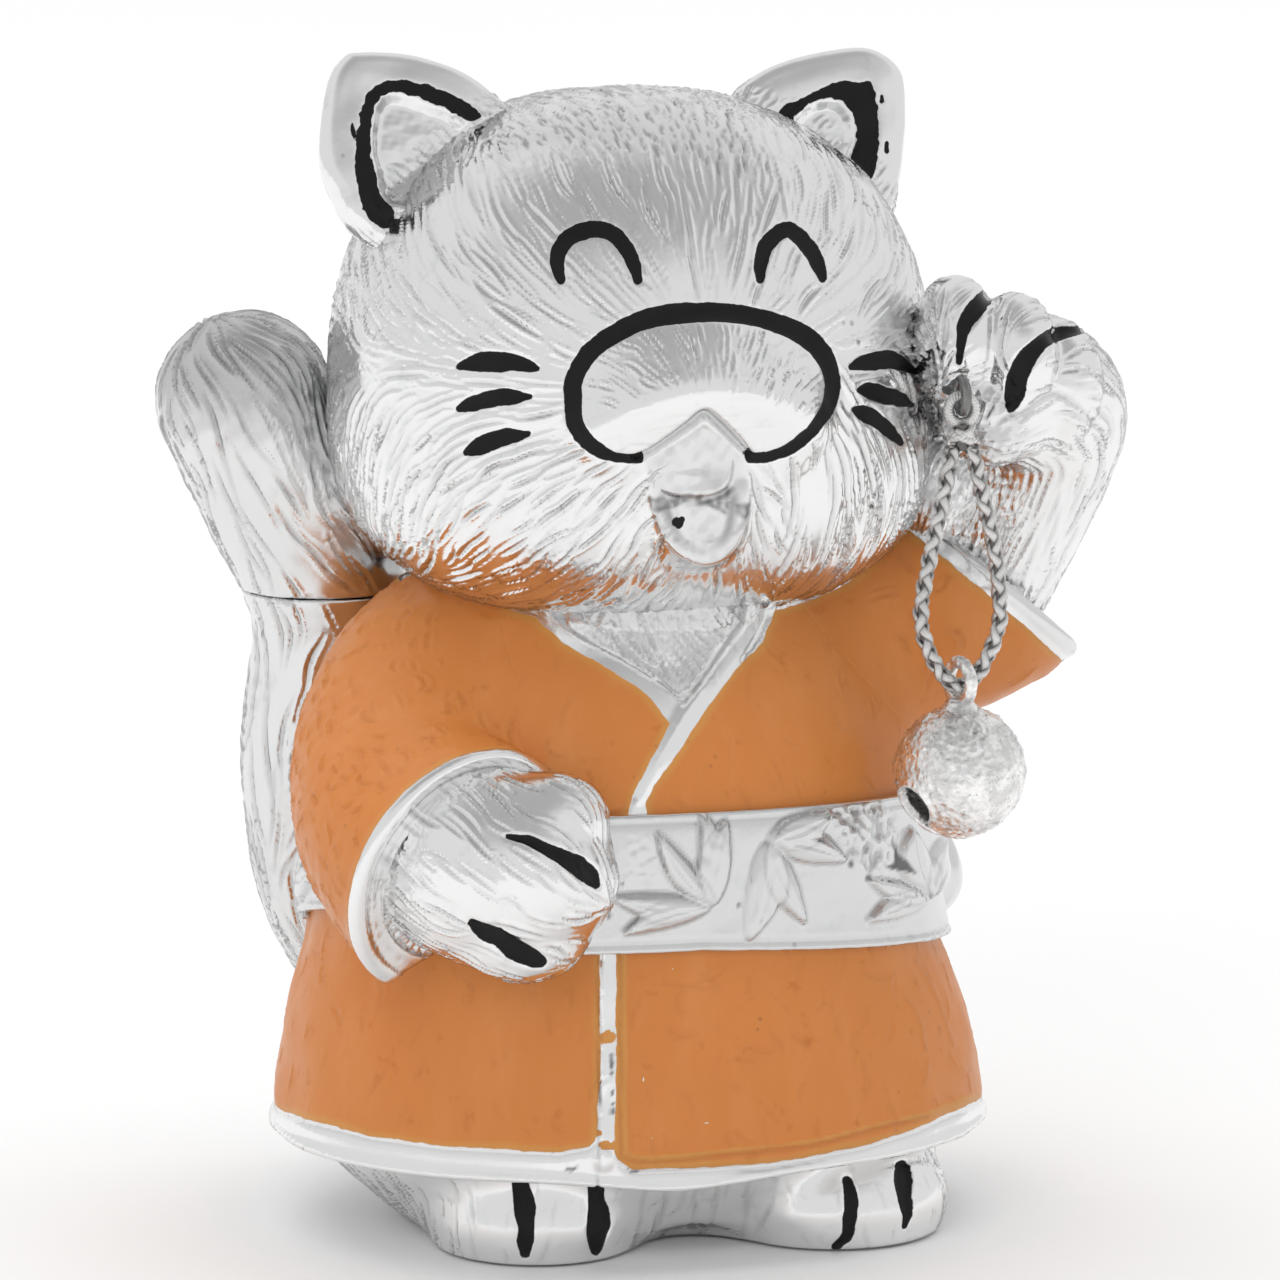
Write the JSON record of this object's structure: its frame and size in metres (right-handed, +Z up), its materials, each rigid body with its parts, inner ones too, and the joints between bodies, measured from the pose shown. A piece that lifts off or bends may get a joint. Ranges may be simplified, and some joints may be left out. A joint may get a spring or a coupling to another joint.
{
  "type": "lucky cat figurine",
  "caption": "Seated lucky cat of plated hollow castings with an enamelled coat, one paw raised, and a jingle bell that swings on a braided cord from the raised paw.",
  "frame": {"origin": "middle of the underside, on the plane the figure stands on and in the plane of symmetry of the face", "axes": "+Z up, the cat faces -Y, +X is the cat's left, the side of the raised paw"},
  "size_m": [0.0914, 0.0729, 0.1162],
  "materials": {
    "plated_casting": "bright plated casting with engraved fur",
    "enamelled_coat": "brushed-on satin enamel",
    "fittings": "satin",
    "bell": "rough stardust plating",
    "cord": "braided silver thread"
  },
  "bodies": {
    "figure": {"head_shell": "plated_casting", "ear_right": "plated_casting", "ear_left": "plated_casting", "body_shell": "enamelled_coat", "obi_sash": "plated_casting", "obi_bow": "plated_casting", "right_sleeve": "enamelled_coat", "right_paw": "plated_casting", "left_sleeve": "enamelled_coat", "raised_arm": "plated_casting", "paw_eyelet": "fittings", "tail_lower": "plated_casting", "tail_upper": "plated_casting", "feet_casting": "plated_casting", "base_plate": "fittings", "base_screw_right": "fittings", "base_screw_left": "fittings"},
    "tie": {"cord_knot": "cord"},
    "cord": {"bell_cord": "cord"},
    "bell": {"bell_loop": "fittings", "bell_upper_half": "bell", "bell_lower_half": "bell"},
    "pellet": {"bell_pellet": "fittings"}
  },
  "joints": [
    {"name": "tie_side_swing", "type": "hinge", "parent": "figure", "child": "tie", "pos_m": [0.0259, -0.0286, 0.08385], "axis": [0, 1, 0], "range_deg": [-35, 4]},
    {"name": "cord_fore_swing", "type": "hinge", "parent": "tie", "child": "cord", "pos_m": [0.0259, -0.0286, 0.0813], "axis": [1, 0, 0], "range_deg": [-50, 2]},
    {"name": "bell_tilt", "type": "hinge", "parent": "cord", "child": "bell", "pos_m": [0.0259, -0.0286, 0.0568], "axis": [1, 0, 0], "range_deg": [-40, 5]},
    {"name": "pellet_roll", "type": "hinge", "parent": "bell", "child": "pellet", "pos_m": [0.0259, -0.0286, 0.0484], "axis": [0, 1, 0], "range_deg": [-55, 55]}
  ]
}
